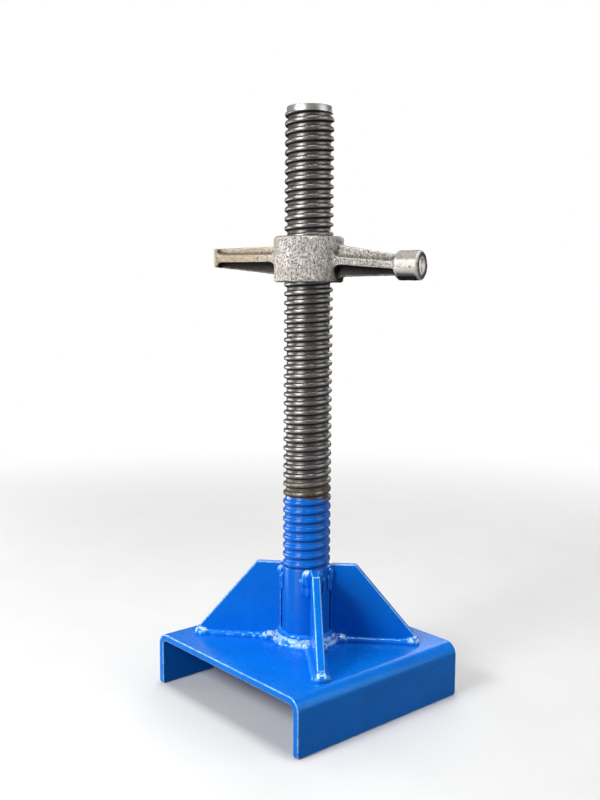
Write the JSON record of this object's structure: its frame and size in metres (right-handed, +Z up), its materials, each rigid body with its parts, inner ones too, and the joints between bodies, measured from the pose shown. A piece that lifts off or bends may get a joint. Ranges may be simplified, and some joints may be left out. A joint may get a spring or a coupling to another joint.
{
  "type": "adjustable jack head",
  "caption": "Blue U-shaped scaffold jack head with a gusseted threaded stem and a cast wing nut with a hammer arm.",
  "frame": {"origin": "middle of the beam seat (the web face between the flanges) on the stem's axis", "axes": "+Z up the stem, +X across the flanges, +Y along the channel"},
  "size_m": [0.2242, 0.212, 0.582],
  "materials": {
    "blue_paint": "gloss",
    "stem_steel": "satin",
    "cast_nut": "rough"
  },
  "bodies": {
    "head": {"channel_head": "blue_paint", "threaded_stem": "stem_steel", "stem_weld": "blue_paint", "gusset_right": "blue_paint", "gusset_left": "blue_paint", "gusset_front": "blue_paint", "gusset_back": "blue_paint", "gusset_weld_right": "blue_paint", "gusset_weld_left": "blue_paint", "gusset_weld_front": "blue_paint", "gusset_weld_back": "blue_paint", "tack_weld_right": "blue_paint", "tack_weld_left": "blue_paint", "tack_weld_front": "blue_paint", "tack_weld_back": "blue_paint"},
    "nut": {"wing_nut": "cast_nut"}
  },
  "joints": [
    {"name": "nut_travel", "type": "slide", "parent": "head", "child": "nut", "axis": [0, 0, 1], "range_m": [-0.28, 0.116]}
  ]
}
